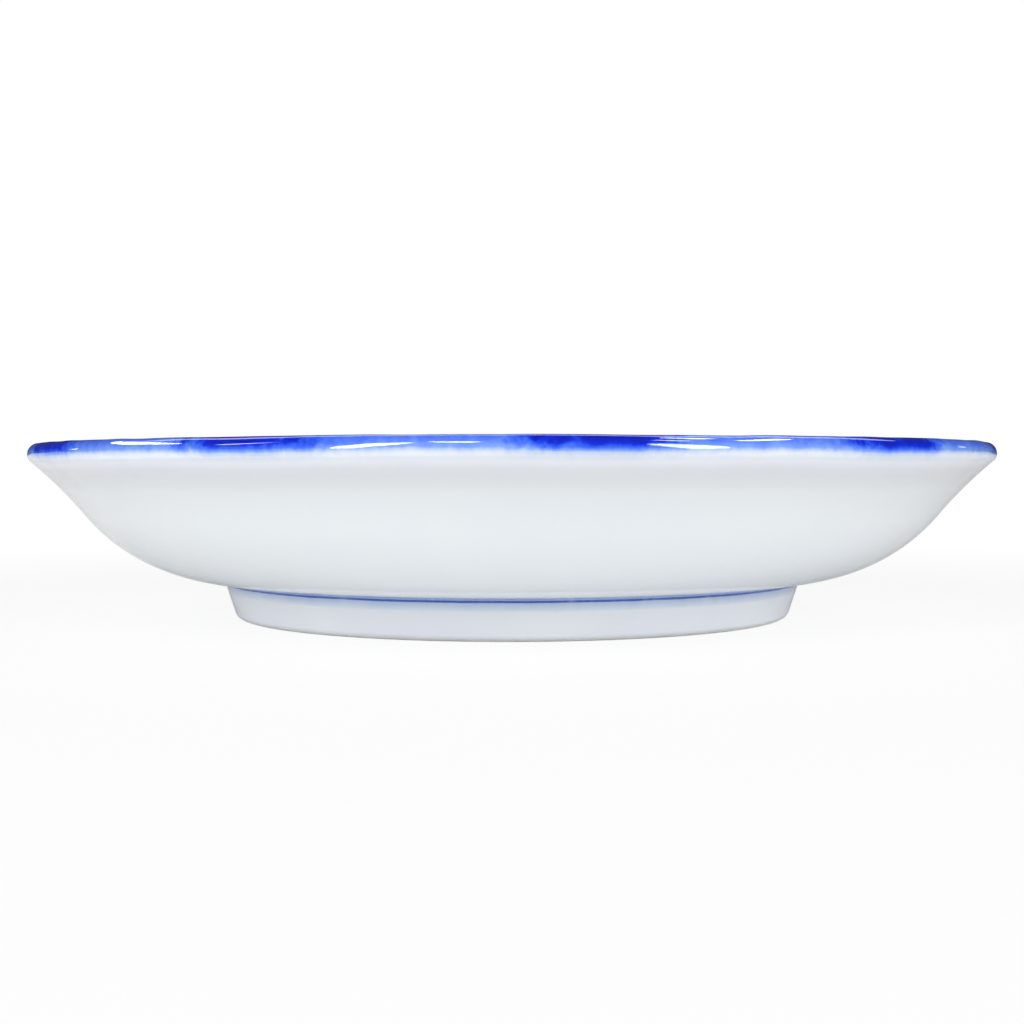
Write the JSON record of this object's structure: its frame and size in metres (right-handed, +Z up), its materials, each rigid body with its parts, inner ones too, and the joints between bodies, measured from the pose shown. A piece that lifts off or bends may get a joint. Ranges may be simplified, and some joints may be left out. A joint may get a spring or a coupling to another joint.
{
  "type": "soy sauce dish",
  "caption": "Small round porcelain soy sauce dish with a shallow well, a flared wall, a blue band over its lip and a blue line above a low foot ring that it rests on.",
  "frame": {"origin": "centre of the foot ring's resting plane, on the dish's axis", "axes": "+Z up along the turning axis, out of the dish's mouth; +X and +Y are any two square directions, because the dish is round"},
  "size_m": [0.095, 0.095, 0.0172],
  "materials": {
    "biscuit": "bare fired porcelain, matt and very fine",
    "clear_glaze": "glossy clear glaze over white porcelain, slightly blue where it pools",
    "foot_glaze": "glossy clear glaze, with blue bleeding down from the line above it",
    "rim_blue": "glossy cobalt blue, brushed on over the lip, with darker and paler streaks",
    "line_blue": "glossy cobalt blue line, pale above and dark at its lower edge"
  },
  "bodies": {
    "root": {"bowl_body": "biscuit", "foot_ring": "biscuit", "inside_glaze": "clear_glaze", "outside_glaze": "clear_glaze", "foot_glaze": "foot_glaze", "base_glaze": "clear_glaze", "rim_band": "rim_blue", "foot_line": "line_blue"}
  },
  "joints": []
}
